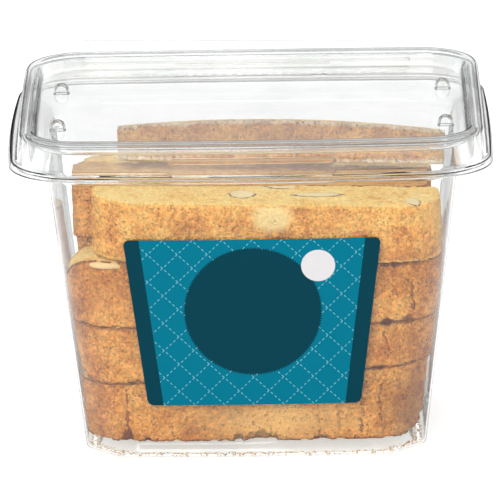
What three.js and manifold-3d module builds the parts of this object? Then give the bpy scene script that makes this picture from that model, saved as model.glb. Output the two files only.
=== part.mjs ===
// Clear plastic tub of almond biscotti: tub, press-on lid, tear strip, front label and sixteen slices.
// Millimetres, +Z up. The label faces -Y, the tear strip is at +Y, and the tub stands on z = 0.
import * as THREE from 'three';
import Module from 'manifold-3d';

const wasm = await Module();
wasm.setup();

// ---- driving dimensions ----
const SHEET = 0.7;              // thickness of the formed plastic
const RIM_HALF_W = 77.6;        // flange of the tub, half width at its corners
const RIM_HALF_D = 62.6;        // and half depth, at the middle of the side
const RIM_BULGE = [3, 1.7];     // how far its left and right side swell between the corners
const BEAD_BULGE = [0.8, 0.3];  // and the same for the snap bead and the lid's ridge
const FOOT_HALF_W = 56.45;      // wall at the foot
const FOOT_HALF_D = 39.55;
const WALL_HALF_W = 67.45;      // wall just under the shoulder
const WALL_HALF_D = 50.55;
const WALL_TOP_Z = 98;
const FOOT_ROUND = 1.4;
const FLOOR_Z = 5;              // the floor stands up off the foot ring
const FOOT_CUT = 11;            // 45 degree cut across the corners at the foot
const WALL_R = 17;              // which grows into this radius at the shoulder
const BEAD_TOP_Z = 112.7;
const FLANGE_Z = 102.9;
const LID_TOP_Z = 114.4;
const PANEL_Z = 109.4;          // the lid's panel is let in below its ridge
const TAB_HALF_W = 26.2;        // straight ends of the thumb tabs, front and back
const LUG = { w: 4.4, depth: 3, h: 3.4, x: 64.2, y: 23 };
const STRIP = { x0: -65, x1: 54, y: 63.95, z0: 101.6, top: [117.2, 115.4], rib: 0.5 };
const LABEL = { z0: 19.6, z1: 78.6, halfTop: 42.5, halfFoot: 35.3, x: -0.4, r: 1.8, t: 0.3, gap: 0.35 };
const UNEVEN = 0.008;
const X_SHIFT = 0.65;           // these put the origin under the middle of the whole outline
const Y_SHIFT = -0.76;

const CORNER_STEPS = 5;

// A drawn sheet is never quite flat: each point stands a few thousandths off, but not under the foot.
function unevenly(x, y, z) {
  const off = (a, b, c) => UNEVEN * Math.sin(a * x + b * y + c * z);
  return z < SHEET ? [x, y, z] : [x + off(1.7, 2.9, 1.3), y + off(2.3, 1.1, 3.1), z + off(0.9, 1.9, 0.7)];
}

// ---- one closed ring of the pack's outline at one height ----
// hx, hy: half width and half depth at the middle of each side; bow: how far the front swells, while
// the back, where the strip runs, is nearly straight; bulge: how far the left and right side swell;
// r: corner radius; cut: 1 for a straight cut corner, 0 for a round one; tab: how far the tabs stand out
function ring({ hx, hy, r, bow, z, cut = 0, tab = 0, bulge = [0, 0] }) {
  const flat = hx - r;
  const xs = [0.78 * flat, TAB_HALF_W + 1.2, TAB_HALF_W, 0, -TAB_HALF_W, -TAB_HALF_W - 1.2, -0.78 * flat];
  const half = (swell) => {
    const by = hy - swell, corner = [];
    for (let k = 0; k <= CORNER_STEPS; k++) {
      const t = k / CORNER_STEPS, a = t * Math.PI / 2;
      const round = [hx - r + r * Math.cos(a), by - r + r * Math.sin(a)];
      const chamfer = [hx - FOOT_CUT * t, by - FOOT_CUT * (1 - t)];
      corner.push([0, 1].map((i) => round[i] + (chamfer[i] - round[i]) * cut));
    }
    const side = xs.map((x) => {
      const lift = Math.abs(x) <= TAB_HALF_W ? tab : 0;
      return [x, by + swell * (1 - (x / flat) ** 2) + lift];
    });
    return [[hx, 0], ...corner, ...side, ...corner.map(([x, y]) => [-x, y]).reverse()];
  };
  const all = [...half(0.25 * bow), ...half(bow).map(([x, y]) => [-x, -y])];
  return all.map(([x, y]) => {
    const out = 1 + bulge[x < 0 ? 0 : 1] * (1 - (y / hy) ** 2) / hx;
    return unevenly(x * out + X_SHIFT, y + Y_SHIFT, z);
  });
}

// ---- closed solid through a list of equal rings; each end is closed by a fan from its middle, or,
// for a flat or narrow ring, laced from its first half to its second ----
function loft(rings, laced = true) {
  const n = rings[0].length, pos = [], tri = [];
  rings.forEach((loop) => loop.forEach((p) => pos.push(...p)));
  for (let i = 0; i + 1 < rings.length; i++) {
    for (let j = 0; j < n; j++) {
      const a = i * n + j, b = i * n + (j + 1) % n;
      tri.push(a, b, b + n, a, b + n, a + n);
    }
  }
  [0, rings.length - 1].forEach((i, end) => {
    const face = (a, b, c) => tri.push(...(end ? [a, b, c] : [b, a, c]));
    if (laced) {
      for (let j = 0; j + 1 < n / 2; j++) {
        const a = i * n + j, b = a + 1, d = i * n + n - 1 - j, c = d - 1;
        if (b !== c) face(a, b, c);
        if (a !== d) face(a, c, d);
      }
      return;
    }
    const c = pos.length / 3, mid = [0, 1, 2].map((k) => rings[i].reduce((s, p) => s + p[k], 0) / n);
    pos.push(...mid);
    for (let j = 0; j < n; j++) face(i * n + j, i * n + (j + 1) % n, c);
  });
  return solid(pos, tri);
}

function solid(pos, tri) {
  let vol = 0;
  const P = (i) => new THREE.Vector3(pos[3 * i], pos[3 * i + 1], pos[3 * i + 2]);
  for (let t = 0; t < tri.length; t += 3) vol += P(tri[t]).dot(P(tri[t + 1]).cross(P(tri[t + 2])));
  const t2 = vol > 0 ? tri : tri.map((v, i) => tri[i % 3 === 1 ? i + 1 : i % 3 === 2 ? i - 1 : i]);
  return new wasm.Manifold(new wasm.Mesh({
    numProp: 3, vertProperties: Float32Array.from(pos), triVerts: Uint32Array.from(t2),
  }));
}

// ---- a formed sheet: both skins of a profile that runs from the middle out to the edge ----
function sheet(profile) {
  const last = profile.length - 1;
  const offset = (i, side) => {
    const a = profile[Math.max(i - 1, 0)], b = profile[i], c = profile[Math.min(i + 1, last)];
    const d1 = new THREE.Vector2(b.hx - a.hx, b.z - a.z), d2 = new THREE.Vector2(c.hx - b.hx, c.z - b.z);
    if (i === 0) d1.copy(d2);
    if (i === last) d2.copy(d1);
    d1.normalize();
    d2.normalize();
    const t = d1.clone().add(d2).normalize();
    const s = side * SHEET / 2 / Math.max(t.dot(d1), 0.7);
    return { ...b, hx: b.hx + t.y * s, hy: b.hy + t.y * s, r: b.r + t.y * s, z: b.z - t.x * s };
  };
  const under = profile.map((_, i) => ring(offset(i, 1)));
  const over = profile.map((_, i) => ring(offset(i, -1))).reverse();
  return loft([...under, ...over], false);
}

// a ring of the shut edge, where the depth is a fixed amount less than the width
const EDGE_LESS = 15.9;
const edge = (hx, z, more = {}) => ({
  hx, hy: hx - EDGE_LESS, r: hx - 57.1, bow: 1.5, z, bulge: BEAD_BULGE, ...more,
});
const rim = { hy: RIM_HALF_D, bow: 3, bulge: RIM_BULGE };

function tub() {
  const wall = (f, z, inset = 0) => ({
    hx: FOOT_HALF_W + (WALL_HALF_W - FOOT_HALF_W) * f - inset,
    hy: FOOT_HALF_D + (WALL_HALF_D - FOOT_HALF_D) * f - inset,
    r: WALL_R - inset, bow: 1 + 0.5 * f, cut: 1 - f, z,
  });
  return sheet([
    wall(0, FLOOR_Z, 30), wall(0, FLOOR_Z, 6.6), wall(0, FLOOR_Z - 0.9, 5.4), wall(0, 1.1, 4.6),
    wall(0, SHEET / 2, 3.9), wall(0, SHEET / 2, 1), wall(0, FOOT_ROUND, 0), wall(1, WALL_TOP_Z),
    edge(68.7, 100.4, { hy: 52 }), edge(72, 101.8), edge(72.7, 103.2),
    edge(72.8, BEAD_TOP_Z - 1.1), edge(73.4, BEAD_TOP_Z), edge(74.5, BEAD_TOP_Z),
    edge(75, BEAD_TOP_Z - 1.1), edge(75.6, FLANGE_Z + 0.5), edge(76.2, FLANGE_Z),
    edge(RIM_HALF_W, FLANGE_Z, rim),
    edge(RIM_HALF_W + 0.35, FLANGE_Z - 1.2, { ...rim, hy: RIM_HALF_D + 0.35 }),
  ]);
}

// A stacking lug: a small round-topped post standing on the lid's panel.
function lug(x, y) {
  const { w, depth, h } = LUG, r = w / 2, loop = [[r, 0]];
  for (let k = 0; k <= 6; k++) {
    const a = k * Math.PI / 6;
    loop.push([r * Math.cos(a), h - r + r * Math.sin(a)]);
  }
  loop.push([-r, 0], [0, 0]);
  const at = (yy) => loop.map(([u, v]) => [x + u + X_SHIFT, yy + Y_SHIFT, PANEL_Z + v]);
  return loft([at(y - depth / 2), at(y + depth / 2)]);
}

function lid() {
  let body = sheet([
    edge(44, PANEL_Z, { r: 4 }), edge(69.9, PANEL_Z), edge(70.9, PANEL_Z + 0.7),
    edge(71.5, LID_TOP_Z - 1), edge(72.3, LID_TOP_Z), edge(75.2, LID_TOP_Z),
    edge(76.1, LID_TOP_Z - 1.1), edge(76.5, 109.3), edge(76.6, 108.5, { tab: 1.7 }),
    edge(76.9, 104.9, { tab: 1.3 }), edge(77.5, FLANGE_Z + 1.08, { tab: 1 }),
    edge(RIM_HALF_W, FLANGE_Z + 1.08, rim),
  ]);
  for (const sx of [-1, 1]) for (const sy of [-1, 1]) body = body.add(lug(sx * LUG.x, sy * LUG.y));
  return body;
}

// ---- tear strip: a ribbed band standing behind the lid, a little taller at one end ----
function tearStrip() {
  const { x0, x1, y, z0, top, rib } = STRIP, side = SHEET / 2;
  const path = [[0, 0], [0.25, 0], [0.32, rib], [0.55, rib], [0.62, 0], [1, 0]];
  const at = (x, drop) => {
    const h = top[0] + (top[1] - top[0]) * (x - x0) / (x1 - x0) - drop - z0;
    const face = (s) => path.map(([f, d]) => [x + X_SHIFT, y + d + s + Y_SHIFT, z0 + h * f]);
    return [...face(-side), ...face(side).reverse()];
  };
  return loft([at(x0, 1.8), at(x0 + 1.8, 0), at(x1 - 1.8, 0), at(x1, 1.8)]);
}

// ---- front label: a thin trapezium with rounded corners lying against the sloping wall ----
function label() {
  const { z0, z1, halfTop, halfFoot, x, r, t, gap } = LABEL, cols = 8;
  const inset = [[0, r], [0.29, 0.29 * r], [1, 0]];
  const rows = [...inset.map(([f, d]) => [z0 + f * r, d]), [(z0 + z1) / 2, 0],
    ...inset.map(([f, d]) => [z1 - f * r, d]).reverse()];
  const wallY = (px, z) => {
    const f = (z - FOOT_ROUND) / (WALL_TOP_Z - FOOT_ROUND);
    const hy = FOOT_HALF_D + (WALL_HALF_D - FOOT_HALF_D) * f + SHEET / 2;
    const bow = 1 + 0.5 * f, flat = FOOT_HALF_W + (WALL_HALF_W - FOOT_HALF_W) * f - WALL_R;
    return -(hy - bow * Math.min((px / flat) ** 2, 1)) - gap;
  };
  const loops = rows.map(([z, d]) => {
    const half = halfFoot + (halfTop - halfFoot) * (z - z0) / (z1 - z0) - d;
    const xs = Array.from({ length: cols + 1 }, (_, i) => x - half + 2 * half * i / cols);
    return [...xs.map((px) => [px + X_SHIFT, wallY(px, z) - t + Y_SHIFT, z]),
      ...xs.reverse().map((px) => [px + X_SHIFT, wallY(px, z) + Y_SHIFT, z])];
  });
  return loft(loops);
}

// ---- one biscotto: a slice lofted along its length ----
// x, y: its two ends; zb, zt: height of its lower and upper cut face at the left and right end;
// rf, rb: plan radius of its front and back corners; arch: how much the upper face swells;
// up: radius that lifts the lower face at [left, right]; down: the same for the upper face;
// swell: how far the [front, back] crust bows out at mid length; tilt: degrees it leans back
const EDGE = 0.9;
const noise = (a, b, s) => {
  const v = Math.sin(a * 12.9898 + b * 78.233 + s * 37.719) * 43758.5453;
  return v - Math.floor(v);
};
const PLAIN = { rf: 6, rb: 3, arch: 0, up: [0, 0], down: [0, 0], swell: [0, 0], tilt: 0 };
function slice(shape) {
  const { x, y, zb, zt, rf, rb, arch, up, down, swell, tilt, seed } = { ...PLAIN, ...shape };
  const [x0, x1] = x, [y0, y1] = y, inner = 8;
  const arc = (r, d) => (d < r ? r - Math.sqrt(Math.max(r * r - (r - d) ** 2, 0)) : 0);
  const stops = [0, 0.04, 0.2, 0.55].map((f) => f * Math.max(rf, rb));
  const big = Math.max(rf, rb), span = x1 - x0 - 2 * big, xs = [...stops.map((d) => x0 + d)];
  for (let i = 0; i < inner; i++) xs.push(x0 + big + span * i / (inner - 1));
  xs.push(...stops.reverse().map((d) => x1 - d));
  const rings = xs.map((px, i) => {
    const f = (px - x0) / (x1 - x0), dl = px - x0, dr = x1 - px, d = Math.min(dl, dr);
    const lift = Math.max(arc(up[0], dl), arc(up[1], dr));
    const sink = Math.max(arc(down[0], dl), arc(down[1], dr));
    const lo = zb[0] + (zb[1] - zb[0]) * f + lift + (d < 0.01 ? 0.5 : 0);
    const hi = zt[0] + (zt[1] - zt[0]) * f + arch * (1 - (2 * f - 1) ** 2) - sink - (d < 0.01 ? 0.5 : 0);
    const out = (2 * f - 1) ** 2;
    const yf = y0 + arc(rf, d) + swell[0] * out, yb = y1 - arc(rb, d) - swell[1] * out;
    const h = hi - lo, w = yb - yf;
    const rough = (k, s) => s * noise(i, k, seed);
    const loop = [];
    for (const k of [0, 1, 2, 3]) loop.push([yf + EDGE + (w - 2 * EDGE) * k / 3, lo + rough(k, 0.25)]);
    for (const k of [0, 1, 2, 3]) loop.push([yb - rough(k + 4, 0.6), lo + EDGE + (h - 2 * EDGE) * k / 3]);
    for (const k of [3, 2, 1, 0]) loop.push([yf + EDGE + (w - 2 * EDGE) * k / 3, hi - rough(k + 8, 0.3)]);
    for (const k of [3, 2, 1, 0]) loop.push([yf + rough(k + 12, 0.7), lo + EDGE + (h - 2 * EDGE) * k / 3]);
    const c = Math.cos(tilt * Math.PI / 180), s = Math.sin(tilt * Math.PI / 180);
    const zh = zb[0] + (zb[1] - zb[0]) * f;
    return loop.map(([py, z]) => {
      const u = py - y0, v = z - zh;
      return [px + X_SHIFT, y0 + u * c + v * s + Y_SHIFT, zh - u * s + v * c];
    });
  });
  return loft(rings);
}

// Rows run front to back and layers bottom to top. The tub tapers, so the upper slices have more room.
const GAP = 0.4;
const LAYER = [[5.8, 5.8], [25.6, 32], [46.5, 47.3], [71.2, 68.2], [91.3, 88]];
const BACK_LAYER = [[5.8, 5.8], [26.6, 27.4], [48, 47], [70.4, 69]];
const DEPTH = [39.4, 41.5, 43.9];
const ENDS = [
  [[-55.9, 55.2], [-55.5, 54.6], [-54.8, 55.6], [-55.4, 54.4]],
  [[-58.5, 58.1], [-57.4, 58], [-58.2, 57], [-57.2, 57.9]],
  [[-60.5, 60.4], [-54, 59.2], [-59, 60.4], [-60, 58.8]],
];
const slices = [];
for (let layer = 0; layer < 3; layer++) {
  const pitch = 2 * DEPTH[layer] / 4;
  for (let row = 0; row < 4; row++) {
    const z = row === 0 ? LAYER : BACK_LAYER;
    slices.push({
      x: ENDS[layer][row], y: [-DEPTH[layer] + pitch * row + (row ? GAP / 2 : 0),
        -DEPTH[layer] + pitch * (row + 1) - (row < 3 ? GAP / 2 : 0)],
      zb: z[layer].map((v) => v + (layer ? GAP / 2 : 0)), zt: z[layer + 1].map((v) => v - GAP / 2),
      rf: row === 0 ? 16 : 4 + row, rb: row === 3 ? 16 : row === 0 ? 1.2 : 3,
      swell: [row ? 0 : 1.5, row < 3 ? 0 : 1.5],
    });
  }
}
slices[0].up = [0, 9];
slices[0].y[1] = -21.1;
slices[4].up = [8, 0];
slices[8].down = [10, 0];
slices.push({ x: [-53.6, 62.3], y: [-46.3, -20.6], zb: [71.4, 68.4], zt: [91.2, 88], rf: 15, rb: 3,
  swell: [1.5, 0] });
slices.push({ x: [-60.6, 58.7], y: [-20.2, 4.8], zb: [71.4, 69.2], zt: [91.2, 87.8], rf: 5, rb: 4 });
slices.push({ x: [-58, 60.4], y: [5.4, 29.4], zb: [70.6, 69.2], zt: [86.8, 83.4], rf: 4, rb: 9 });
slices.push({ x: [-45.5, 64.9], y: [-3.5, 18.5], zb: [93.7, 90.6], zt: [104.6, 101.6], rf: 7, rb: 5,
  arch: 3, tilt: 16 });

const pack = new THREE.Group();
pack.name = 'biscotti_tub';
function put(name, body, color) {
  const mesh = body.getMesh(), g = new THREE.BufferGeometry();
  g.setAttribute('position', new THREE.Float32BufferAttribute(Float32Array.from(mesh.vertProperties), 3));
  g.setIndex(Array.from(mesh.triVerts));
  g.computeVertexNormals();
  const m = new THREE.Mesh(g, new THREE.MeshStandardMaterial({ color }));
  m.name = name;
  pack.add(m);
}
put('tub', tub(), 0xdfe6e8);
put('lid', lid(), 0xe8edef);
put('tear_strip', tearStrip(), 0xe0e4e6);
put('label', label(), 0x0f7f93);
slices.forEach((s, i) => {
  put(`biscotto_${String(i + 1).padStart(2, '0')}`, slice({ ...s, seed: i + 1 }), 0xd99b52);
});

export default pack;
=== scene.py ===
import math

import bmesh
import bpy
import numpy as np
from mathutils import Matrix, Vector


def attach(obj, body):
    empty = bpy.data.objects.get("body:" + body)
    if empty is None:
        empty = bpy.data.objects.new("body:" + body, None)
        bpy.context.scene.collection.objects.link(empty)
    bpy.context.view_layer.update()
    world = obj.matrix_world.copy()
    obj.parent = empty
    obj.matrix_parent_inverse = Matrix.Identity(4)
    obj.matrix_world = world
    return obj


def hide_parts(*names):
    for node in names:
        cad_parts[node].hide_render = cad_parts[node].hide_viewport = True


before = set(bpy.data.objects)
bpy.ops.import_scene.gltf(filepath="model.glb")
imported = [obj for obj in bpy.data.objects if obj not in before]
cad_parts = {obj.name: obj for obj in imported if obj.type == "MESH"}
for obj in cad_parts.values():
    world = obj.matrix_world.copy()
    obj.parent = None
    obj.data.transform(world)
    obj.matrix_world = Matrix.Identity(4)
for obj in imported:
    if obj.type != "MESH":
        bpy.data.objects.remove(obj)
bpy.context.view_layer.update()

MM = 0.001

# ---- Camera ----
# A long lens looks down at the front of the tub from 2.4 m away. It is turned and rolled by a hair,
# since a pack is seldom set quite square in front of it.
X_SHIFT, Y_SHIFT = 0.65, -0.76  # the tub's middle in the frame, in mm
AIM = Vector((X_SHIFT, Y_SHIFT, 60)) * MM
LOOK_DOWN, TURN, ROLL = math.radians(16.49), math.radians(-0.39), math.radians(-0.90)
DISTANCE = 2.419
LEFT_OF_AIM, ABOVE_AIM = 1.377, 0.47
FOCAL, SENSOR = 518.5, 36


def placed(name, data):
    """An object in the scene, at its origin."""
    thing = bpy.data.objects.new(name, data)
    bpy.context.collection.objects.link(thing)
    return thing


side = Vector((math.cos(TURN), -math.sin(TURN), 0))
away = Vector((math.sin(TURN), math.cos(TURN), 0))
ahead = away * math.cos(LOOK_DOWN) - Vector((0, 0, math.sin(LOOK_DOWN)))
above = away * math.sin(LOOK_DOWN) + Vector((0, 0, math.cos(LOOK_DOWN)))
across = side * math.cos(ROLL) + above * math.sin(ROLL)
upright = above * math.cos(ROLL) - side * math.sin(ROLL)
lens = bpy.data.cameras.new("lens")
lens.sensor_width, lens.lens = SENSOR, FOCAL
lens.clip_start, lens.clip_end = 0.1, 20
camera = placed("camera", lens)
spot = AIM - ahead * DISTANCE - across * LEFT_OF_AIM * MM + upright * ABOVE_AIM * MM
camera.matrix_world = Matrix((
    (across.x, upright.x, -ahead.x, spot.x), (across.y, upright.y, -ahead.y, spot.y),
    (across.z, upright.z, -ahead.z, spot.z), (0, 0, 0, 1)))
bpy.context.scene.camera = camera

# ---- Tub ----
# One sheet of clear PET, drawn hot into a tapering box: a floor raised inside a foot ring, straight
# walls whose cut corners turn round as they rise, a shoulder, a snap bead and a flange.
SHEET = 0.5  # the wall's thickness, in mm, as are all sizes below
CORNER_STEPS, FILLET_STEPS = 14, 4
TAB_HALF_W, TAB_SLOPE = 26.2, 1.2
FOOT_HALF_W, FOOT_HALF_D, FOOT_CORNER, FOOT_CUT = 56.45, 39.55, 17, 11
WALL_SPREAD = 11


def outline(hx, hy, r, bow, z, cut, tab, left, right):
    """One ring of the pack at one height, in mm, starting at +X and running anticlockwise.

    hx and hy are half its width and depth, and r is its corners' radius. cut turns them from round, 0, to
    cut off straight, 1. tab is how far the thumb tabs stand out. The front swells by bow and the back by
    a quarter of it; left and right are how far the sides swell.
    """
    flat = hx - r
    # the front's and back's points are close together by the corners and at the sides of a thumb tab
    stops = [flat - 0.8, flat * 0.92, flat * 0.82, flat * 0.72]
    stops += [TAB_HALF_W + past for past in (1.5, 0.9, 0.3, -0.3)]
    stops += [stops[-1] * f for f in (0.75, 0.5, 0.25)]
    xs = stops + [0] + [-s for s in reversed(stops)]

    def half(swell):
        by = hy - swell
        corner = []
        for k in range(CORNER_STEPS + 1):
            t = k / CORNER_STEPS
            a = t * math.pi / 2
            rx, ry = hx - r + r * math.cos(a), by - r + r * math.sin(a)
            cx, cy = hx - FOOT_CUT * t, by - FOOT_CUT * (1 - t)
            corner.append((rx + (cx - rx) * cut, ry + (cy - ry) * cut))
        run = []
        for x in xs:
            lift = tab * min(max((TAB_HALF_W + TAB_SLOPE - abs(x)) / TAB_SLOPE, 0), 1)
            run.append((x, by + swell * (1 - (x / flat) ** 2) + lift))
        top = corner[0][1]
        ends = [(hx, y) for y in (0, top * 0.2, top * 0.4, top * 0.6, top * 0.8, top - 0.8)]
        other = [(-x, y) for x, y in reversed(ends[1:] + corner)]
        return ends + corner + run + other

    ring = half(0.25 * bow) + [(-x, -y) for x, y in half(bow)]
    swollen = [(x * (1 + (left if x < 0 else right) * (1 - (y / hy) ** 2) / hx), y) for x, y in ring]
    return [((x + X_SHIFT) * MM, (y + Y_SHIFT) * MM, z * MM) for x, y in swollen]


def softened(profile, reach=0.7, hold=0.35, longest=6, most=0.42):
    """The profile's corners rounded, the way a hot sheet goes round them, and its flats kept flat.

    reach is how far a rounding starts from its corner, hold how far past it the flat is held, and longest
    the longest step along a flat, all in mm. most is the share of a short flat that a rounding may take.
    """
    rows = np.array(profile, float)
    width_and_height = [0, 4]
    held = reach + hold

    def far(step):
        return np.linalg.norm(step[width_and_height])

    bends = [[rows[0]]]
    for a, b, c in zip(rows, rows[1:], rows[2:]):
        la, lc = far(a - b), far(c - b)
        s, e = b + (a - b) * min(reach / la, most), b + (c - b) * min(reach / lc, most)
        steps = np.linspace(0, 1, FILLET_STEPS + 1)
        bend = [s * (1 - t) ** 2 + 2 * b * t * (1 - t) + e * t * t for t in steps]
        before = [b + (a - b) * held / la] if la > 2 * held + 0.2 else []
        after = [b + (c - b) * held / lc] if lc > 2 * held + 0.2 else []
        bends.append(before + bend + after)
    bends.append([rows[-1]])
    out = list(bends[0])
    for bend in bends[1:]:
        a, b = out[-1], bend[0]
        n = int(far(b - a) // longest)
        out += [a + (b - a) * k / (n + 1) for k in range(1, n + 1)] + bend
    return out


def formed_sheet(name, profile, posts=()):
    """A thin-walled piece through a profile that runs from its middle out to its edge.

    posts are further open shells in the same sheet, each as its corners and faces.
    """
    rings = [outline(*row) for row in softened(profile)]
    n = len(rings[0])
    verts = [p for ring in rings for p in ring]
    faces = [(i * n + j, i * n + (j + 1) % n, (i + 1) * n + (j + 1) % n, (i + 1) * n + j)
             for i in range(len(rings) - 1) for j in range(n)]
    faces.append(list(range(n - 1, -1, -1)))
    for corners, sides in posts:
        faces += [[k + len(verts) for k in face] for face in sides]
        verts += corners
    mesh = bpy.data.meshes.new(name)
    mesh.from_pydata(verts, [], faces)
    form = bmesh.new()
    form.from_mesh(mesh)
    bmesh.ops.recalc_face_normals(form, faces=form.faces)
    form.to_mesh(mesh)
    form.free()
    mesh.shade_smooth()
    piece = placed(name, mesh)
    wall = piece.modifiers.new("sheet thickness", "SOLIDIFY")
    wall.thickness, wall.offset = SHEET * MM, 0
    return piece


class Recipe:
    """A node tree as it is written out, with a short word for each kind of node that is used often."""

    def __init__(self, tree):
        self.tree = tree

    def add(self, kind, **values):
        """A node with its inputs set or linked: a socket is linked, anything else is set.

        A key in small letters is one of the node's own settings, I2 is its third input, and any other key
        is an input's name with _ for each space.
        """
        node = self.tree.nodes.new(kind)
        for key, value in values.items():
            if hasattr(node, key) and not key[0].isupper():
                setattr(node, key, value)
                continue
            numbered = key[0] == "I" and key[1:].isdigit()
            socket = node.inputs[int(key[1:]) if numbered else key.replace("_", " ")]
            if isinstance(value, bpy.types.NodeSocket):
                self.tree.links.new(value, socket)
            else:
                socket.default_value = value
        return node

    def calc(self, kind, a, b=0.0, c=0.0):
        return self.add("ShaderNodeMath", operation=kind, I0=a, I1=b, I2=c).outputs[0]

    def plus(self, first, *others):
        for value in others:
            first = self.calc("ADD", first, value)
        return first

    def minus(self, first, *others):
        for value in others:
            first = self.calc("SUBTRACT", first, value)
        return first

    def times(self, first, *others):
        for value in others:
            first = self.calc("MULTIPLY", first, value)
        return first

    def scaled(self, value, by, then_add):
        return self.calc("MULTIPLY_ADD", value, by, then_add)

    def about_zero(self, noise, reach):
        """Noise that ran from 0 to 1, made to run from minus half its reach to plus half."""
        return self.scaled(noise, reach, -reach / 2)

    def span(self, value, low, high, to_low=0.0, to_high=1.0):
        """value's stretch from low to high, spread over to_low to to_high and held there beyond it."""
        return self.add("ShaderNodeMapRange", Value=value, From_Min=low, From_Max=high, To_Min=to_low,
                        To_Max=to_high).outputs[0]

    def noise(self, where, scale, detail, **more):
        return self.add("ShaderNodeTexNoise", Vector=where, Scale=scale, Detail=detail, **more).outputs[0]

    def blend(self, under, over, share, kind="MIX"):
        """One colour over another, by a share from 0 to 1."""
        return self.add("ShaderNodeMix", data_type="RGBA", blend_type=kind, I0=share, I6=under,
                        I7=over).outputs[2]

    def tones(self, value, stops):
        """A colour that follows a value, with each stop as its place and its colour."""
        node = self.add("ShaderNodeValToRGB", Fac=value)
        elements = node.color_ramp.elements
        for end in (0, -1):
            elements[end].position, elements[end].color = stops[end]
        for place, tone in stops[1:-1]:
            elements.new(place).color = tone
        return node.outputs[0]


def blank_material(name):
    """A material without nodes, and the recipe that writes them."""
    mat = bpy.data.materials.new(name)
    mat.use_nodes = True
    mat.node_tree.nodes.clear()
    return mat, Recipe(mat.node_tree)


def clear_plastic(name, bend, wavy, grey_from):
    """Clear formed PET: glass that lets the lamps through, so that what it holds is lit.

    bend is its refractive index and wavy how far the drawn sheet is from flat. It clouds a little in
    patches. Where it is seen nearly edge on, from grey_from on, it is painted greyer: partly for the
    longer way through the sheet there, partly as painted shade for the thin dark lines along its bends.
    """
    mat, n = blank_material(name)
    where = n.add("ShaderNodeTexCoord").outputs["Object"]
    clouds, waves = n.noise(where, 60, 4), n.noise(where, 22, 1)
    tint = n.tones(clouds, [(0.3, (0.975, 0.98, 0.98, 1)), (0.6, (0.995, 0.998, 0.998, 1))])
    # painted shade: the tint turns grey where the sheet is seen edge on, partly for the longer way through
    # it, partly for the dark lines along the bends
    edge_on = n.add("ShaderNodeLayerWeight", Blend=0.5).outputs["Facing"]
    edge_shade = n.span(edge_on, grey_from, 0.97, 0.0, 0.95)
    tint = n.blend(tint, (0.36, 0.35, 0.34, 1), edge_shade)
    lie = n.add("ShaderNodeBump", Strength=wavy, Distance=1.2 * MM, Height=waves).outputs[0]
    glass = n.add("ShaderNodeBsdfGlass", Roughness=0, IOR=bend, Color=tint, Normal=lie)
    through = n.add("ShaderNodeBsdfTransparent", Color=(0.985, 0.99, 0.99, 1))
    to_lamp = n.add("ShaderNodeLightPath").outputs["Is Shadow Ray"]
    both = n.add("ShaderNodeMixShader", I0=to_lamp, I1=glass.outputs[0], I2=through.outputs[0])
    n.add("ShaderNodeOutputMaterial", Surface=both.outputs[0])
    return mat


def tub_wall(up, z, inset=0):
    """A ring of the foot or the wall, from the foot's size where up is 0 to the shoulder's where it is 1."""
    wider = WALL_SPREAD * up
    return (FOOT_HALF_W + wider - inset, FOOT_HALF_D + wider - inset, FOOT_CORNER - inset, 1 + 0.5 * up, z,
            1 - up, 0, 0, 0)


def rim_ring(hx, z, hy=None, tab=0):
    """A ring of the snap bead or of the lid's ridge: all of them have the same middles to their corners."""
    less_deep, corner_at, bow, left, right = 15.9, 57.1, 1.5, 0.8, 0.3
    return (hx, hx - less_deep if hy is None else hy, hx - corner_at, bow, z, 0, tab, left, right)


def flange(out, z):
    """A ring of the flat outer rim, of the tub and the lid alike."""
    return (77.6 + out, 62.6 + out, 20.5 + out, 3, z, 0, 0, 3, 1.7)


floor_and_foot = [
    tub_wall(0, 5, 12), tub_wall(0, 5, 6.6), tub_wall(0, 4.1, 5.4), tub_wall(0, 1.1, 4.6),
    tub_wall(0, 0.25, 3.9), tub_wall(0, 0.25, 1), tub_wall(0, 1.4)]
wall_and_shoulder = [tub_wall(1, 98), rim_ring(68.7, 100.4, 52), rim_ring(72, 101.8), rim_ring(72.7, 103.2)]
snap_bead = [
    rim_ring(72.8, 111.6), rim_ring(73.4, 112.7), rim_ring(74.5, 112.7), rim_ring(75, 111.6),
    rim_ring(75.6, 103.4), rim_ring(76.2, 102.9)]
turned_edge = [flange(0, 102.9), flange(0.35, 101.7)]
tub = formed_sheet("formed_tub", floor_and_foot + wall_and_shoulder + snap_bead + turned_edge)
tub.data.materials.append(clear_plastic("clear PET wall", 1.45, 0.3, 0.79))
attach(tub, "root")
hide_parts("tub")

# ---- Lid ----
# A second formed sheet that snaps over the bead: a let-in panel, a raised ridge with a thumb tab front
# and back, and a flange that lies on the tub's. Four small posts on the panel keep stacked tubs apart.
PANEL_Z, LID_FLANGE_Z = 109.4, 103.98
POST = dict(w=4.4, depth=3, h=3.4, x=64.2, y=23, steps=12, flare=0.3, flare_h=0.5)


def stacking_post(x, y):
    """One post: an arch drawn up out of the panel, with its front and back closed and its corners eased."""
    r, wider, low = POST["w"] / 2, POST["w"] / 2 + POST["flare"], POST["flare_h"]
    turns = [k * math.pi / POST["steps"] for k in range(POST["steps"] + 1)]
    arch = [(r * math.cos(a), POST["h"] - r + r * math.sin(a)) for a in turns]
    arch = [(wider, 0), (r, low)] + arch + [(-r, low), (-wider, 0)]
    # from front to back, each arch as its place in the depth and its size
    rings = [(-0.5, 0.82), (-0.44, 0.95), (-0.32, 1), (0.32, 1), (0.44, 0.95), (0.5, 0.82)]
    corners = [((x + u * size + X_SHIFT) * MM, (y + d * POST["depth"] + Y_SHIFT) * MM,
                (PANEL_Z + v * size) * MM) for d, size in rings for u, v in arch]
    n, m = len(arch), len(rings)
    sides = [(i * n + j, i * n + j + 1, (i + 1) * n + j + 1, (i + 1) * n + j)
             for i in range(m - 1) for j in range(n - 1)]
    return corners, sides + [list(range(n)), list(range((m - 1) * n, m * n))[::-1]]


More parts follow.
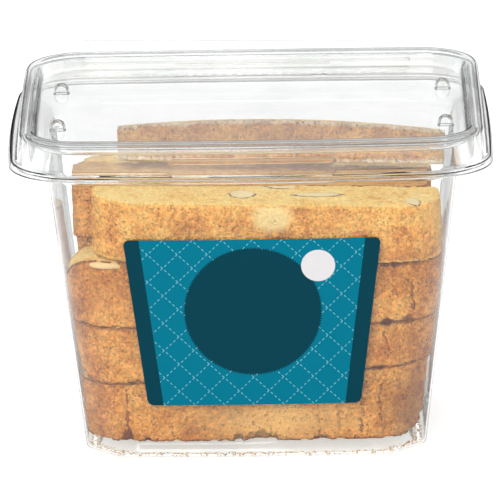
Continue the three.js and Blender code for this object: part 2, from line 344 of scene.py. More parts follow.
panel = [(44, 28.1, 4, 1.5, PANEL_Z, 0, 0, 0, 0), rim_ring(69.9, PANEL_Z)]
ridge = [
    rim_ring(70.9, 110.1), rim_ring(71.5, 113.4), rim_ring(72.3, 114.4), rim_ring(75.2, 114.4),
    rim_ring(76.1, 113.3), rim_ring(76.5, 109.3)]
skirt = [rim_ring(76.6, 108.5, tab=1.7), rim_ring(76.9, 104.9, tab=1.3), rim_ring(77.5, LID_FLANGE_Z, tab=1)]
posts = [stacking_post(sx * POST["x"], sy * POST["y"]) for sx in (-1, 1) for sy in (-1, 1)]
lid = formed_sheet("formed_lid", panel + ridge + skirt + [flange(0, LID_FLANGE_Z)], posts)
lid_film = clear_plastic("clear PET lid", 1.5, 0.1, 0.76)
lid.data.materials.append(lid_film)
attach(lid, "root")
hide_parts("lid")

# ---- Tear strip ----
# A ribbed band of the same clear sheet behind the lid, held to the flange by the bridges between its
# slits. It is pulled off along them to open the tub.
plain_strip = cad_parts["tear_strip"]
SLIT = dict(pitch=3.4, long=2, deep=4, high=0.5, count=34)
FIRST_SLIT = (X_SHIFT - 60.5, Y_SHIFT + 63.95, 104.3)


def blank_tree(name, result, **inputs):
    """A Geometry Nodes tree without nodes: the recipe that writes them, and what the tree is given.

    inputs gives each named input its kind, and result is the name of what comes out.
    """
    tree = bpy.data.node_groups.new(name, "GeometryNodeTree")
    for key, kind in inputs.items():
        tree.interface.new_socket(key.replace("_", " "), in_out="INPUT", socket_type="NodeSocket" + kind)
    tree.interface.new_socket(result, in_out="OUTPUT", socket_type="NodeSocketGeometry")
    return Recipe(tree), tree.nodes.new("NodeGroupInput").outputs


def closed_tree(recipe, shape, material):
    """The tree with its last nodes, which make what it built a real mesh in one material."""
    real = recipe.add("GeometryNodeRealizeInstances", Geometry=shape)
    done = recipe.add("GeometryNodeSetMaterial", Geometry=real.outputs[0], Material=material)
    end = recipe.add("NodeGroupOutput")
    recipe.tree.links.new(done.outputs[0], end.inputs[0])
    return recipe.tree


def slitting_tree():
    """Geometry Nodes that cut a row of slits through a sheet, all sizes in metres."""
    n, given = blank_tree(
        "row of slits", "Sheet", Sheet="Geometry", Pitch="Float", Slit_length="Float", Slit_depth="Float",
        Slit_height="Float", Slits="Int", First_slit="Vector", Film="Material")
    step = n.add("ShaderNodeCombineXYZ", X=given["Pitch"])
    row = n.add("GeometryNodeMeshLine", Count=given["Slits"], Start_Location=given["First slit"],
                Offset=step.outputs[0])
    size = n.add("ShaderNodeCombineXYZ", X=given["Slit length"], Y=given["Slit depth"],
                 Z=given["Slit height"])
    slit = n.add("GeometryNodeMeshCube", Size=size.outputs[0])
    slits = n.add("GeometryNodeInstanceOnPoints", Points=row.outputs[0], Instance=slit.outputs["Mesh"])
    blades = n.add("GeometryNodeRealizeInstances", Geometry=slits.outputs[0])
    cutting = n.add("GeometryNodeMeshBoolean", operation="DIFFERENCE", I0=given["Sheet"],
                    I1=blades.outputs[0])
    return closed_tree(n, cutting.outputs[0], given["Film"])


def settle(piece, tree, **values):
    """Runs a tree on a piece with its inputs set, and leaves the result as a plain mesh."""
    run = piece.modifiers.new(tree.name, "NODES")
    run.node_group = tree
    for item in tree.interface.items_tree:
        key = item.name.replace(" ", "_")
        if item.in_out == "INPUT" and key in values:
            run[item.identifier] = values[key]
    seen = piece.evaluated_get(bpy.context.evaluated_depsgraph_get())
    mesh = bpy.data.meshes.new_from_object(seen)
    piece.modifiers.remove(run)
    piece.data = mesh


strip = placed("slit_strip", plain_strip.data.copy())
form = bmesh.new()
form.from_mesh(strip.data)
bmesh.ops.remove_doubles(form, verts=form.verts, dist=1e-6)
form.to_mesh(strip.data)
form.free()
strip.data.materials.clear()
settle(strip, slitting_tree(), Pitch=SLIT["pitch"] * MM, Slit_length=SLIT["long"] * MM,
       Slit_depth=SLIT["deep"] * MM, Slit_height=SLIT["high"] * MM, Slits=SLIT["count"],
       First_slit=[v * MM for v in FIRST_SLIT], Film=lid_film)
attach(strip, "root")
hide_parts("tear_strip")

# ---- Biscotti ----
# Slices of a baked almond loaf, baked again: flat pale cut faces above and below, browned crust along
# the front, back and ends. Three layers have four rows each, a fourth has three, and one leans on top.
GAP = 0.1
ROWS = [dict(rf=16, rb=1.2, swell=(1.5, 0)), dict(rf=5), dict(rf=6), dict(rf=7, rb=16, swell=(0, 1.5))]
WALL_LEAN = 2  # how far the lower slices' ends follow the wall out

# the joints' heights at their left and right ends, half the layers' depths, and the slices' two ends
FRONT_JOINTS = [(5.8, 5.8), (25.6, 32), (46.5, 47.3), (70.2, 68.2)]
BACK_JOINTS = [(5.8, 5.8), (26.6, 27.4), (48, 47), (70.4, 69)]
HALF_DEPTH = [39.4, 41.5, 43.9]
ENDS = [
    [(-56.3, 56), (-55.5, 54.6), (-54.8, 55.6), (-55.4, 54.4)],
    [(-58.7, 58.9), (-57.4, 58), (-58.2, 57), (-57.2, 57.9)],
    [(-60.5, 61), (-54, 59.2), (-59, 60.4), (-60, 58.8)],
]
slices = []
for layer, half_depth in enumerate(HALF_DEPTH):
    pitch = half_depth / 2
    for row, corners in enumerate(ROWS):
        joints = FRONT_JOINTS if row == 0 else BACK_JOINTS
        slices.append(dict(
            corners, flare=WALL_LEAN, x=ENDS[layer][row],
            y=(-half_depth + pitch * row + (GAP / 2 if row else 0),
               -half_depth + pitch * (row + 1) - (GAP / 2 if row < 3 else 0)),
            zb=[v + (GAP / 2 if layer else 0) for v in joints[layer]],
            zt=[v - GAP / 2 for v in joints[layer + 1]]))

# the front slices of the three full layers have bits broken out, and the lowest is less deep than its row
lowest, second, third = slices[0], slices[4], slices[8]
lowest.update(up=(0, 9), y=(lowest["y"][0], -21.1), nicks=[
    (1.8, 5.8, 4.8, 3.2, 3.4), (-5.9, 6.6, 1.6, 1.6, 2.2), (-42.8, 6, 1.8, 4.2, 2), (-36, 5.6, 1.6, 1.6, 1.4),
    (22, 5.8, 3, 1.6, 1.5), (41.5, 31, 2.2, 1.1, 1.5), (47.6, 31.4, 1.3, 0.9, 1.2)])
second.update(up=(8, 0), nicks=[
    (43.6, 46.8, 2.3, 1.4, 1.7), (51, 47, 2.2, 1, 1.5), (-40, 26, 3, 1.2, 1.4), (41.6, 30.8, 2.6, 1, 1.5),
    (53, 32, 1.2, 0.8, 1)])
third.update(down=(10, 0), nicks=[
    (44, 47.4, 2.3, 1.2, 1.7), (51.2, 47.6, 2.3, 2.2, 2), (-37, 46.6, 3, 1.1, 1.4),
    (43.4, 67.7, 1.5, 1.1, 1.5), (46.8, 67.6, 2, 1.3, 1.7), (50.4, 67.5, 1.3, 1, 1.4),
    (53.6, 67.4, 1.8, 1.1, 1.5), (57.2, 67.3, 1.1, 0.9, 1.3)])
slices += [
    dict(x=(-53.6, 62.3), y=(-46.3, -20.6), zb=(70.4, 68.4), zt=(91.2, 88), rf=15, swell=(1.5, 0), arris=1.2,
         skew=(2.2, -1.2)),
    dict(x=(-60.6, 58.7), y=(-20.2, 4.8), zb=(71.4, 69.2), zt=(91.2, 87.8), rf=5, rb=4),
    dict(x=(-58, 60.4), y=(5.4, 29.4), zb=(70.6, 69.2), zt=(86.8, 83.4), rf=4, rb=9),
    dict(x=(-45.5, 64.9), y=(-3.5, 18.5), zb=(93.7, 90.6), zt=(104.6, 101.6), rf=7, rb=5, arch=3, tilt=16),
]


def slice_blank(name, cell, x, y, zb, zt, rf=6, rb=3, arch=0, up=(0, 0), down=(0, 0), swell=(0, 0), tilt=0,
                arris=0.7, skew=(0, 0), flare=0, nicks=()):
    """One slice as a closed grid of cells, in mm.

    Three attributes go with it: cut is 1 on its cut faces, brink is 1 along their arris and fades in 3 mm,
    and nick is 1 where a piece has broken out.
    x and y are its ends, and its front and back. zb and zt are how high its underside and its top lie at
    each end. rf and rb are the radii of its front and back corners, up and down those by which its
    underside and its top are rounded at each end, and arris the one between cut face and crust. arch is
    how far the top rises in the middle, swell how far the front and back stand out there, skew how much
    further they bulge at the right end, flare how far both ends lean out to their top, as the wall does,
    and tilt how far the slice leans down to its back, in degrees. Each nick is broken out of the front
    as (x, z, half width, half height, depth).
    """
    (x0, x1), (y0, y1) = x, y
    tiny, brink_w = 1e-9, 3
    high = (zt[0] + zt[1] - zb[0] - zb[1]) / 2
    n = [max(int(round(d / cell)), 4) for d in (x1 - x0, y1 - y0, high)]
    index = -np.ones([v + 1 for v in n], int)
    I, J, K = np.indices(index.shape)
    skin = (I == 0) | (I == n[0]) | (J == 0) | (J == n[1]) | (K == 0) | (K == n[2])
    index[skin] = np.arange(skin.sum())
    faces = []
    for axis in range(3):
        for end in (0, -1):
            sheet = np.take(index, end, axis)
            quads = np.stack([sheet[:-1, :-1], sheet[1:, :-1], sheet[1:, 1:], sheet[:-1, 1:]], -1)
            quads = quads.reshape(-1, 4)
            faces.append(quads[:, ::-1] if (end == 0) != (axis == 1) else quads)
    size = np.array([x1 - x0, y1 - y0, high])
    p = np.stack([I[skin] / n[0], J[skin] / n[1], K[skin] / n[2]], 1) * size

    # the arris all round, and from it which points are on a cut face
    inset = np.minimum(p, size - p)
    brink = np.clip(1 - (inset[:, 2] + inset[:, :2].min(1)) / brink_w, 0, 1)
    q = np.clip(p, arris, size - arris)
    d = p - q
    reach = np.maximum(np.linalg.norm(d, axis=1), tiny)
    p = q + d * (arris / reach)[:, None]
    cut = np.clip((np.abs(d[:, 2]) / reach - 0.3) / 0.5, 0, 1)

    # the four upright corners
    for r, back in ((rf, False), (rb, True)):
        r = max(r, arris)
        for right in (False, True):
            cx, cy = (size[0] - r if right else r), (size[1] - r if back else r)
            to_x, to_y = (1 if right else -1), (1 if back else -1)
            dx, dy = (p[:, 0] - cx) * to_x, (p[:, 1] - cy) * to_y
            inside = (dx > 0) & (dy > 0)
            k = np.where(inside, np.maximum(dx, dy) / np.maximum(np.hypot(dx, dy), tiny), 1)
            p[:, 0] = np.where(inside, cx + dx * k * to_x, p[:, 0])
            p[:, 1] = np.where(inside, cy + dy * k * to_y, p[:, 1])

    # how far along, deep and up each point is in the slice, from 0 to 1, and its place once it is bent
    f, depth, level = (p[:, axis] / size[axis] for axis in range(3))
    from_left, from_right = p[:, 0], size[0] - p[:, 0]
    px = x0 + p[:, 0]

    def arc(r, dist):
        return np.where(dist < r, r - np.sqrt(np.maximum(r * r - (r - dist) ** 2, 0)), 0) if r else 0 * dist

    # the swell is a shallow curve all along, and the high powers keep the skew and the lean to the ends
    out = (2 * f - 1) ** 2
    py = y0 + p[:, 1] + swell[0] * out * (1 - depth) - swell[1] * out * depth
    belly = np.sin(math.pi * np.clip(level * 0.9 + 0.1, 0, 1)) ** 0.7
    px = px + (skew[0] * (1 - depth) + skew[1] * depth) * f ** 8 * belly
    px = px + flare * level * (f ** 6 - (1 - f) ** 6)
    base = zb[0] + (zb[1] - zb[0]) * f
    lo = base + np.maximum(arc(up[0], from_left), arc(up[1], from_right))
    top = zt[0] + (zt[1] - zt[0]) * f + arch * (1 - out)
    hi = top - np.maximum(arc(down[0], from_left), arc(down[1], from_right))
    pz = lo + (hi - lo) * level
    nick = 0 * px
    for nx, nz, wide, tall, deep in nicks:
        ragged = 1 + 0.25 * np.sin(1.4 * px + nx) + 0.2 * np.sin(3.1 * px + 2 * nx)
        far = (((px - nx) / wide) ** 2 + ((pz - nz) / tall) ** 2) * ragged
        bite = np.clip(1 - far, 0, 1) ** 0.6 * np.clip(1 - depth * 4, 0, 1)
        py = py + bite * deep
        # the deeper a nick, the higher its value, so the material paints its hollow darker as shade
        nick = np.maximum(nick, bite * min(deep / 1.7, 1))
    c, s = math.cos(math.radians(tilt)), math.sin(math.radians(tilt))
    py, pz = y0 + (py - y0) * c + (pz - base) * s, base - (py - y0) * s + (pz - base) * c
    verts = np.stack([px + X_SHIFT, py + Y_SHIFT, pz], 1) * MM
    mesh = bpy.data.meshes.new(name)
    mesh.from_pydata(verts.tolist(), [], np.concatenate(faces).tolist())
    for key, value in (("cut", cut), ("brink", brink), ("nick", nick)):
        mesh.attributes.new(key, "FLOAT", "POINT").data.foreach_set("value", value.astype(np.float32))
    mesh.shade_smooth()
    return placed(name, mesh)


def colour(r, g, b):
    """A paint colour as it is read on a screen, 0 to 255, made linear."""
    lin = [(v / 255 / 12.92) if v / 255 <= 0.04045 else ((v / 255 + 0.055) / 1.055) ** 2.4 for v in (r, g, b)]
    return (*lin, 1)


# painted shade: the first is scorching along with shade in the joints between slices and in broken-out
# hollows; the others are the shade in pores and in cracks
SCORCH_AND_SHADE, PORE_SHADE, CRACK_SHADE = colour(112, 50, 16), colour(150, 62, 10), colour(142, 68, 24)
NUT, NUT_SKIN = colour(248, 226, 178), colour(162, 88, 48)


def baked_dough(name, crust, crumb, arris_tone, arris_from, shadow=0.0, almonds=(), cracks=(), patches=(),
                porous=1.0):
    """Crust and crumb in one material. The cut attribute says which; pores, toasting and painted shade do the
    rest.

    crust and crumb are each a dark, a middle and a light paint colour, arris_tone colours the brink
    from arris_from on, and shadow is how strongly the arris tone lies on the cut face and how dark the
    arris is scorched, partly toasting and partly painted shade in the joint between slices. almonds
    lie in the upper cut face as (x, y, half length, half width, turn in degrees), cracks stand in the
    front crust as (x, low z, high z, half width) and are painted dark as the shade in them, and patches
    are painted paler or darker there, each as (x, z, half width, half height, rim, share, tone), all in
    mm; rim is where a patch starts to fade out, from 0 to 1. porous is how plainly the pores show, with
    their painted shade.
    """
    mat, n = blank_material(name)
    where = n.add("ShaderNodeTexCoord").outputs["Object"]
    cut, brink, nick = (n.add("ShaderNodeAttribute", attribute_name=key).outputs["Fac"]
                        for key in ("cut", "brink", "nick"))
    # the toasting, from broad patches down to single crumbs
    wide, patch = n.noise(where, 38.0, 2.0, Roughness=0.55), n.noise(where, 150.0, 3.0, Roughness=0.55)
    small, fine = n.noise(where, 480.0, 4.0, Roughness=0.65), n.noise(where, 1300.0, 3.0, Roughness=0.7)
    bake = n.plus(n.times(wide, 0.35), n.times(patch, 0.3), n.times(small, 0.35))

    def baked(tones, low, high):
        """Three tones that follow the bake."""
        return n.tones(bake, list(zip((low, (low + high) / 2, high), (colour(*tone) for tone in tones))))

    ragged = n.plus(cut, n.about_zero(small, 0.9), n.about_zero(patch, 0.8))
    look = n.blend(baked(crust, 0.4, 0.6), baked(crumb, 0.38, 0.6), n.span(ragged, 0.55, 0.95))
    # the arris tone: where shadow is set it lies more strongly on the cut face, partly toasting and partly
    # painted shade in the joint between slices
    uneven = n.plus(brink, n.about_zero(small, 0.7), n.about_zero(patch, 0.5))
    on_arris = n.span(uneven, arris_from, arris_from + 0.3)
    strength = n.span(cut, 0.2, 0.9, 0.9, 0.25 + 0.6 * shadow)
    look = n.blend(look, colour(*arris_tone), n.times(on_arris, strength))

    # along the arris: scorching and painted shade in the joint between slices; painted shade where a bit has
    # broken out
    scorch_and_joint_shade = n.times(n.span(cut, 0.25, 0.55), n.span(cut, 1.0, 0.9), n.span(patch, 0.36, 0.5, 0.55, 1.0),
                     shadow)
    broken = n.times(n.span(n.plus(nick, n.about_zero(small, 0.6)), 0.3, 0.8), 0.92)
    look = n.blend(look, SCORCH_AND_SHADE, n.calc("MAXIMUM", scorch_and_joint_shade, broken))

    # grains: each crumb of the crust stands up a little and is toasted its own shade
    grain = n.add("ShaderNodeTexVoronoi", Vector=where, Scale=1150.0)
    own = n.add("ShaderNodeSeparateColor", Color=grain.outputs["Color"]).outputs[1]
    look = n.blend(look, n.span(own, 0.0, 1.0, 0.76, 1.2), n.span(cut, 0.4, 0.9, 1.0, 0.45), "MULTIPLY")
    look = n.blend(look, n.span(fine, 0.32, 0.68, 0.78, 1.18), 1.0, "MULTIPLY")

    # pores: many fine ones and some larger, in loose clusters, dented in and painted dark as the shade in
    # them
    def pores(scale, low, high, cluster_scale, left_out):
        cell = n.add("ShaderNodeTexVoronoi", Vector=where, Scale=scale)
        hole = n.span(cell.outputs["Distance"], low, high, 1.0, 0.0)
        pick = n.add("ShaderNodeSeparateColor", Color=cell.outputs["Color"]).outputs[0]
        cluster = n.noise(where, cluster_scale, 1.0, Roughness=0.55)
        return n.times(hole, n.span(pick, left_out, left_out + 0.02), n.span(cluster, 0.36, 0.48))

    holes = n.calc("MAXIMUM", n.times(pores(1000.0, 0.14, 0.34, 230.0, 0.5), 0.8),
                   pores(500.0, 0.1, 0.24, 120.0, 0.7))
    holes = n.times(holes, n.span(cut, 0.3, 0.9, 1.0, 0.3), porous)
    look = n.blend(look, PORE_SHADE, n.times(holes, 0.9))
    height = n.plus(n.times(small, 0.7), n.times(fine, 0.45))
    height = n.minus(height, n.times(grain.outputs["Distance"], 0.35), n.times(holes, 1.1))

    axis = n.add("ShaderNodeSeparateXYZ", Vector=where).outputs
    x, y, z = (n.scaled(axis[k], 1 / MM, -shift) for k, shift in enumerate((X_SHIFT, Y_SHIFT, 0)))
    gaps = n.noise(where, 310.0, 2.0, Roughness=0.55)
    jag = n.plus(n.about_zero(patch, 5.0), n.about_zero(small, 3.0))

    def within(du, dv, half_u, half_v):
        """How far out a point is from a spot's middle, 1 at its uneven rim."""
        a, b = n.calc("DIVIDE", du, half_u), n.calc("DIVIDE", dv, half_v)
        return n.plus(n.calc("SQRT", n.plus(n.times(a, a), n.times(b, b))), n.about_zero(small, 0.5))

    # cracks are dented in and painted dark as the shade in them
    for cx, low, high, half in cracks:
        off = n.calc("ABSOLUTE", n.minus(n.plus(x, jag), cx))
        line = n.calc("LESS_THAN", off, n.times(n.minus(small, 0.3), half * 5))
        line = n.times(line, n.span(z, low, low + 0.5), n.span(z, high - 0.5, high, 1.0, 0.0),
                       n.span(gaps, 0.44, 0.5))
        look = n.blend(look, CRACK_SHADE, n.times(line, 0.75))
        height = n.minus(height, line)
    for cx, cz, half_w, half_h, rim, share, tone in patches:
        spot = n.span(within(n.minus(x, cx), n.minus(z, cz), half_w, half_h), rim, 1.0, 1.0, 0.0)
        spot = n.times(spot, n.span(cut, 0.2, 0.6, 1.0, 0.0))
        look = n.blend(look, colour(*tone), n.times(spot, share))
    for cx, cy, half_l, half_w, turn in almonds:
        c, s = math.cos(math.radians(turn)), math.sin(math.radians(turn))
        dx, dy = n.minus(x, cx), n.minus(y, cy)
        along, over = n.plus(n.times(dx, c), n.times(dy, s)), n.minus(n.times(dy, c), n.times(dx, s))
        reach, on_cut = within(along, over, half_l, half_w), n.span(cut, 0.6, 0.8)
        nut = n.times(n.span(reach, 0.92, 1.0, 1.0, 0.0), on_cut)
        rim = n.times(n.span(reach, 1 - 0.7 / half_w, 1 - 0.3 / half_w), n.span(reach, 1.02, 1.08, 1.0, 0.0))
        near_side = n.span(over, -0.2 * half_w, 0.4 * half_w, 1.0, 0.12)
        skin = n.times(rim, near_side, on_cut, n.span(patch, 0.38, 0.46))
        look = n.blend(n.blend(look, NUT, n.times(nut, 0.9)), NUT_SKIN, n.times(skin, 0.9))
        height = n.plus(height, n.times(nut, 0.5), n.times(skin, 0.5))
    rough = n.add("ShaderNodeBump", Strength=1.0, Distance=1.3 * MM, Height=height).outputs[0]
    body = n.add("ShaderNodeBsdfPrincipled", Base_Color=look, Roughness=0.8, Normal=rough,
                 Specular_IOR_Level=0.2)
    n.add("ShaderNodeOutputMaterial", Surface=body.outputs[0])
    return mat


def roughening_tree():
    """Geometry Nodes that roughen a slice: lumps and pits in the crust, a flatter crumb on the cuts.

    Along the arris between them crumbs have broken away. All depths are in mm, and Loaf is where in the
    noise a slice is cut from, so that no two are alike.
    """
    n, given = blank_tree(
        "rough slice", "Slice", Slice="Geometry", Lump_depth="Float", Pit_depth="Float",
        Crumb_depth="Float", Break_depth="Float", Loaf="Float", Dough="Material")
    at = dict(Vector=n.add("GeometryNodeInputPosition").outputs[0], W=given["Loaf"])
    cut, brink = (n.add("GeometryNodeInputNamedAttribute", Name=key).outputs[0] for key in ("cut", "brink"))

    def noise(scale, detail):
        return n.add("ShaderNodeTexNoise", noise_dimensions="4D", Scale=scale, Detail=detail, **at).outputs[0]

    cells = n.add("ShaderNodeTexVoronoi", voronoi_dimensions="4D", Scale=330.0, **at).outputs["Distance"]
    pits = n.times(n.span(cells, 0.1, 0.42, 1.0, 0.0), n.span(noise(90.0, 1.0), 0.48, 0.6))
    lumps = n.times(n.minus(noise(170.0, 3.0), 0.72), given["Lump depth"])
    grain = n.times(n.minus(noise(700.0, 3.0), 0.6), given["Crumb depth"])
    crust = n.plus(n.minus(lumps, n.times(pits, given["Pit depth"])), grain)
    both = n.add("ShaderNodeMix", data_type="FLOAT", I0=cut, I2=crust, I3=n.times(grain, 0.6)).outputs[0]
    broken = n.times(n.span(noise(300.0, 2.0), 0.5, 0.72), given["Break depth"], n.times(brink, brink))
    out = n.add("GeometryNodeInputNormal").outputs[0]
    move = n.add("ShaderNodeVectorMath", operation="SCALE", I0=out, Scale=n.times(n.minus(both, broken), MM))
    moved = n.add("GeometryNodeSetPosition", Geometry=given["Slice"], Offset=move.outputs[0])
    return closed_tree(n, moved.outputs[0], given["Dough"])


CRUMB_TONES = ((244, 190, 98), (254, 212, 124), (255, 226, 150))
DULL_CRUST = ((182, 106, 46), (218, 145, 70), (238, 170, 90))
# the brown arris tone of the lower slices is partly toasting and partly painted shade in the joints between
# slices
GOLD, TOAST_AND_JOINT_SHADE = (252, 190, 92), (150, 84, 38)
golden = baked_dough(
    "golden dough", ((212, 132, 50), (250, 178, 84), (255, 206, 112)), CRUMB_TONES, GOLD, 0.4,
    almonds=[(-3.5, -33.3, 4.4, 4.8, 0), (9.5, -22.6, 5.4, 4.0, 3), (21.5, -33, 8.6, 2.6, 5),
             (52.8, -39.5, 2.3, 4.4, 12)],
    patches=[(6.3, 85.4, 7.8, 6.6, 0.55, 0.85, (255, 226, 156)), (60, 84, 7, 6, 0.3, 0.5, (255, 200, 112)),
             # the last patch is painted shade: a dark line along the underside at the right end, in the joint
             # with the slice below
             (46, 71, 16, 5, 0.2, 0.45, (190, 104, 44)), (49, 68.7, 13, 1.1, 0.3, 0.85, (120, 58, 24))],
    porous=0.55)
browner = baked_dough(
    "browner dough", ((180, 102, 40), (226, 147, 64), (244, 176, 90)), CRUMB_TONES, TOAST_AND_JOINT_SHADE, 0.62, 0.9,
    cracks=[(-42.5, 6, 25, 0.5), (43.5, 34, 45, 0.4), (52.5, 50, 62, 0.5), (20.5, 8, 20, 0.4),
            (27.5, 8, 16, 0.4), (35.5, 8, 22, 0.4), (41.5, 12, 25, 0.4), (50, 10, 20, 0.35)],
    # the first patch is painted light: the middle of the lowest slice is paler where more light reaches it
    patches=[(6, 13, 34, 10, 0.3, 0.6, (255, 204, 126)), (50, 16, 13, 15, 0.3, 0.55, (146, 84, 36)),
             (48, 38, 14, 9, 0.2, 0.5, (176, 98, 40)), (-50, 58, 14, 11, 0.2, 0.35, (190, 110, 48))],
    porous=0.75)
plain = baked_dough("plain dough", DULL_CRUST, CRUMB_TONES, TOAST_AND_JOINT_SHADE, 0.8, 0.7)
# painted shade: the top crumb of the slice under the leaning one is browner where the leaning slice shades it
shaded = baked_dough(
    "crumb in painted shade", DULL_CRUST, ((204, 144, 70), (218, 164, 88), (232, 186, 112)), TOAST_AND_JOINT_SHADE, 0.8, 0.7)
pale_edged = baked_dough(
    "pale-edged dough", ((186, 116, 46), (218, 152, 68), (236, 178, 92)), CRUMB_TONES, (244, 226, 198), 0.48)

# the six slices that show are each toasted as they lie, and slice 14's top crumb is painted browner as the
# shade under the leaning slice; they have finer cells than the hidden ones
SHOWN = {0: browner, 4: browner, 8: browner, 12: golden, 13: shaded, 15: pale_edged}
FINE_CELL, COARSE_CELL = 0.45, 0.9
LOAF_STEP = 3.7
rough_slice = roughening_tree()
for number, shape in enumerate(slices):
    name = f"biscotto_{number + 1:02d}"
    piece = slice_blank(name + "_baked", FINE_CELL if number in SHOWN else COARSE_CELL, **shape)
    settle(piece, rough_slice, Lump_depth=1.1, Pit_depth=0.6, Crumb_depth=0.85, Break_depth=1.6,
           Loaf=number * LOAF_STEP, Dough=SHOWN.get(number, plain))
    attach(piece, "root")
    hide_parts(name)

# ---- Almond ----
# One cut almond stands out of the crust of a slice in front, where the loaf was cut through it. It is
# blunt at one end and pointed at the other, and its brown skin is still on along the lower side.
ALMOND_AT, ALMOND_HALF = Vector((-47.4, -39.7, 68.2)), (7, 3.8, 1.7)
SKIN_FROM, SKIN_TO = 67.6, 68.08


def almond_sliver(name):
    """A cut almond, with its point to the right, as a closed mesh."""
    form = bmesh.new()
    bmesh.ops.create_uvsphere(form, u_segments=40, v_segments=24, radius=1)
    for vert in form.verts:
        taper = 1 - 0.3 * max(vert.co.x, 0) ** 2
        half_l, half_w, half_h = ALMOND_HALF
        spot = Vector((vert.co.x * half_l, vert.co.y * half_w * taper, vert.co.z * half_h * taper))
        vert.co = (spot + ALMOND_AT + Vector((X_SHIFT, Y_SHIFT, 0))) * MM
    mesh = bpy.data.meshes.new(name)
    form.to_mesh(mesh)
    form.free()
    mesh.shade_smooth()
    return placed(name, mesh)


def almond_meat(name):
    """Pale nut with its thin brown skin left on below an uneven line."""
    mat, n = blank_material(name)
    where = n.add("ShaderNodeTexCoord").outputs["Object"]
    grain = n.noise(where, 900.0, 3.0)
    high = n.add("ShaderNodeSeparateXYZ", Vector=where).outputs[2]
    skin = n.span(n.scaled(grain, 0.8 * MM, high), SKIN_FROM * MM, SKIN_TO * MM, 1.0, 0.0)
    meat = n.blend(colour(226, 184, 120), colour(248, 220, 162), grain)
    look = n.blend(meat, colour(138, 76, 38), skin)
    rough = n.add("ShaderNodeBump", Strength=0.5, Distance=0.4 * MM, Height=grain)
    body = n.add("ShaderNodeBsdfPrincipled", Base_Color=look, Roughness=0.6, Normal=rough.outputs[0])
    n.add("ShaderNodeOutputMaterial", Surface=body.outputs[0])
    return mat


almond = almond_sliver("almond_in_biscotto_09")
almond.data.materials.append(almond_meat("almond and its skin"))
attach(almond, "root")

# ---- Crumbs ----
# What the slices have shed: crumbs of crust that have run down into the gutter of the tub's foot ring
# and lie there loose.
# where the gutter starts and ends, in from the foot's outer side, then how high and how large the crumbs are
GUTTER_INNER, GUTTER_OUTER, GUTTER_Z = 4.3, 1.2, 0.6
SMALLEST, LARGEST = 0.25, 0.8
CRUMBS_PER_M2 = 95e4
WHOLE_TURN = 6.28


def strewing_tree():
    """Geometry Nodes that strew angular crumbs over a strip of floor, all sizes in metres."""
    n, given = blank_tree(
        "strewn crumbs", "Crumbs", Strip="Geometry", Crumbs_per_square_metre="Float", Smallest="Float",
        Largest="Float", Dough="Material")
    spots = n.add("GeometryNodeDistributePointsOnFaces", Mesh=given["Strip"],
                  Density=given["Crumbs per square metre"], Seed=7)
    crumb = n.add("GeometryNodeMeshIcoSphere", Radius=0.5, Subdivisions=1)
    long, thick = (n.add("FunctionNodeRandomValue", I2=given["Smallest"], I3=given["Largest"],
                         Seed=seed).outputs[1] for seed in (11, 12))
    size = n.add("ShaderNodeCombineXYZ", X=long, Y=thick, Z=thick)
    turn = n.add("FunctionNodeRandomValue", data_type="FLOAT_VECTOR", I1=[WHOLE_TURN] * 3, Seed=13)
    strewn = n.add("GeometryNodeInstanceOnPoints", Points=spots.outputs[0], Instance=crumb.outputs[0],
                   Rotation=turn.outputs[0], Scale=size.outputs[0])
    return closed_tree(n, strewn.outputs[0], given["Dough"])


NO_ARRIS = 2
shed = baked_dough("shed crumbs", ((214, 164, 100), (234, 190, 128), (246, 212, 158)), CRUMB_TONES, GOLD,
                   NO_ARRIS, porous=0.2)
inner, outer = (outline(*tub_wall(0, GUTTER_Z, inset)) for inset in (GUTTER_INNER, GUTTER_OUTER))
count = len(inner)
gutter = bpy.data.meshes.new("gutter")
gutter.from_pydata(inner + outer, [], [
    (k, count + k, count + (k + 1) % count, (k + 1) % count) for k in range(count)])
crumbs = placed("crumbs", gutter)
settle(crumbs, strewing_tree(), Crumbs_per_square_metre=CRUMBS_PER_M2, Smallest=SMALLEST * MM,
       Largest=LARGEST * MM, Dough=shed)
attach(crumbs, "root")

# ---- Label ----
# A printed film label stuck to the front wall: a blue-green field crossed by a dashed diamond lattice,
# a darker band down each side, a dark disc with a scalloped edge and a small white disc.
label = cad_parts["label"]
# the label's middle and slope, then its sizes, all in mm, with v up the wall and u across it
LABEL_X, LABEL_Z, WALL_SLOPE = X_SHIFT - 0.4, 49.1, math.radians(6.3)
LABEL_HALF_W, LABEL_TAPER, BAND_W = 38.9, 0.1205, 5.2
LATTICE, LINE_HALF_W, DASH_HALF = 9.85, 0.17, 0.62
DISC_R, DISC_UP, SCALLOPS, SCALLOP = 22.7, 4.0, 160.0, 0.28
DOT_R, DOT_AT = 5.6, (21.7, 20.1)
FIELD, DARK = colour(0, 114, 138), colour(4, 61, 75)
LINES, WHITE = colour(126, 192, 206), colour(219, 216, 217)


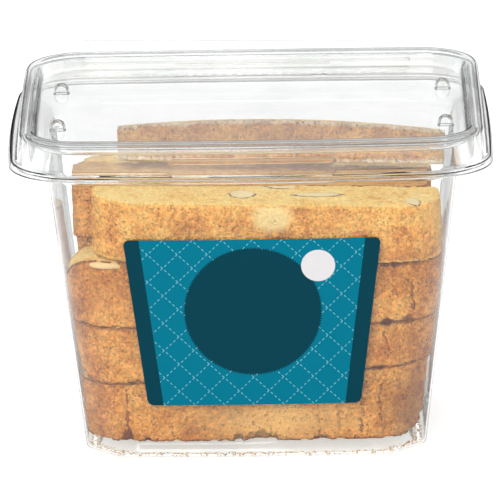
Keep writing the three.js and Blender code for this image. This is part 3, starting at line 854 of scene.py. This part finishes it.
def printed_film():
    """The label's print, drawn in millimetres across and up the sloping front."""
    mat, n = blank_material("printed label film")

    def under(value, limit, blur=0.06):
        """1 where value is under limit, 0 where it is over."""
        return n.span(value, limit - blur, limit + blur, 1.0, 0.0)

    def from_middle(a, b):
        return n.calc("SQRT", n.plus(n.times(a, a), n.times(b, b)))

    def dashed(across, along):
        near = n.calc("PINGPONG", across, LATTICE / 2)
        dash = LATTICE / 4
        beat = n.calc("PINGPONG", n.plus(along, dash / 4), dash / 2)
        return n.times(under(near, LINE_HALF_W, 0.08), under(beat, DASH_HALF, 0.08))

    where = n.add("ShaderNodeTexCoord").outputs["Object"]
    axis = n.add("ShaderNodeSeparateXYZ", Vector=where).outputs
    u = n.scaled(axis[0], 1 / MM, -LABEL_X)
    v = n.scaled(axis[2], 1 / MM / math.cos(WALL_SLOPE), -LABEL_Z / math.cos(WALL_SLOPE))
    rise, fall = n.plus(u, v), n.minus(u, v)
    lattice = n.calc("MAXIMUM", dashed(rise, fall), dashed(fall, rise))
    look = n.blend(FIELD, LINES, n.times(lattice, 0.9))
    band = n.minus(n.scaled(v, LABEL_TAPER, LABEL_HALF_W - BAND_W), n.calc("ABSOLUTE", u))
    look = n.blend(look, DARK, under(band, 0.0))
    high = n.minus(v, DISC_UP)
    teeth = n.calc("SINE", n.times(n.calc("ARCTAN2", high, u), SCALLOPS))
    look = n.blend(look, DARK, under(n.scaled(teeth, SCALLOP, from_middle(u, high)), DISC_R))
    dot = from_middle(n.minus(u, DOT_AT[0]), n.minus(v, DOT_AT[1]))
    look = n.blend(look, WHITE, under(dot, DOT_R))
    fibre, wave = n.noise(where, 1500.0, 2.0), n.noise(where, 25.0, 1.0)
    look = n.blend(look, n.span(fibre, 0.0, 1.0, 0.95, 1.05), 1.0, "MULTIPLY")
    lie = n.add("ShaderNodeBump", Strength=0.15, Distance=0.4 * MM, Height=wave)
    film = n.add("ShaderNodeBsdfPrincipled", Base_Color=look, Roughness=0.42, Normal=lie.outputs[0],
                 Specular_IOR_Level=0.04)
    n.add("ShaderNodeOutputMaterial", Surface=film.outputs[0])
    return mat


label.data.materials.clear()
label.data.materials.append(printed_film())

# ---- Floor and light ----
# A plain white sheet, a broad soft light overhead, fills from the front, and a room whose walls are
# dark low down, which the bends of the plastic pick up as thin dark lines.
FLOOR_HALF = 6
sweep = bpy.data.meshes.new("floor")
sweep.from_pydata([(x * FLOOR_HALF, y * FLOOR_HALF, 0) for x, y in ((-1, -1), (1, -1), (1, 1), (-1, 1))],
                  [], [(0, 1, 2, 3)])
white, paper = blank_material("lit white sheet")
lit = paper.add("ShaderNodeBsdfPrincipled", Base_Color=(0.86, 0.86, 0.86, 1), Roughness=0.9,
                Specular_IOR_Level=0, Emission_Color=(1, 1, 1, 1), Emission_Strength=0.5)
paper.add("ShaderNodeOutputMaterial", Surface=lit.outputs[0])
sweep.materials.append(white)
floor = placed("floor", sweep)


def softbox(name, at, aim, width, height, watts):
    """A soft light of this size, in metres, that faces the point it aims at."""
    lamp = bpy.data.lights.new(name, "AREA")
    lamp.shape, lamp.size, lamp.size_y, lamp.energy = "RECTANGLE", width, height, watts
    box = placed(name, lamp)
    box.location = at
    box.rotation_euler = (Vector(aim) - Vector(at)).to_track_quat("-Z", "Y").to_euler()


softbox("overhead", (0, 0.25, 1.6), (0, 0.1, 0), 2.2, 2.2, 9)
softbox("front fill", (-0.7, -2.2, 1.2), (0, 0, 0.05), 1.6, 1.2, 21)
softbox("front fill right", (0.9, -2.0, 0.9), (0, 0, 0.05), 0.9, 0.9, 2)
room = bpy.data.worlds.new("room")
room.use_nodes = True
walls = Recipe(room.node_tree)
facing = walls.add("ShaderNodeTexCoord").outputs["Generated"]
height = walls.add("ShaderNodeSeparateXYZ", Vector=facing).outputs[2]
dusk = walls.tones(height, [(0.1, (0.04, 0.04, 0.04, 1)), (0.27, (0.62, 0.62, 0.62, 1))])
room.node_tree.links.new(dusk, room.node_tree.nodes["Background"].inputs["Color"])
bpy.context.scene.world = room
bpy.context.scene.view_settings.view_transform = "Standard"
bounces = bpy.context.scene.cycles
bounces.max_bounces = 24
bounces.transmission_bounces = 24
bounces.glossy_bounces = 8
bounces.transparent_max_bounces = 48
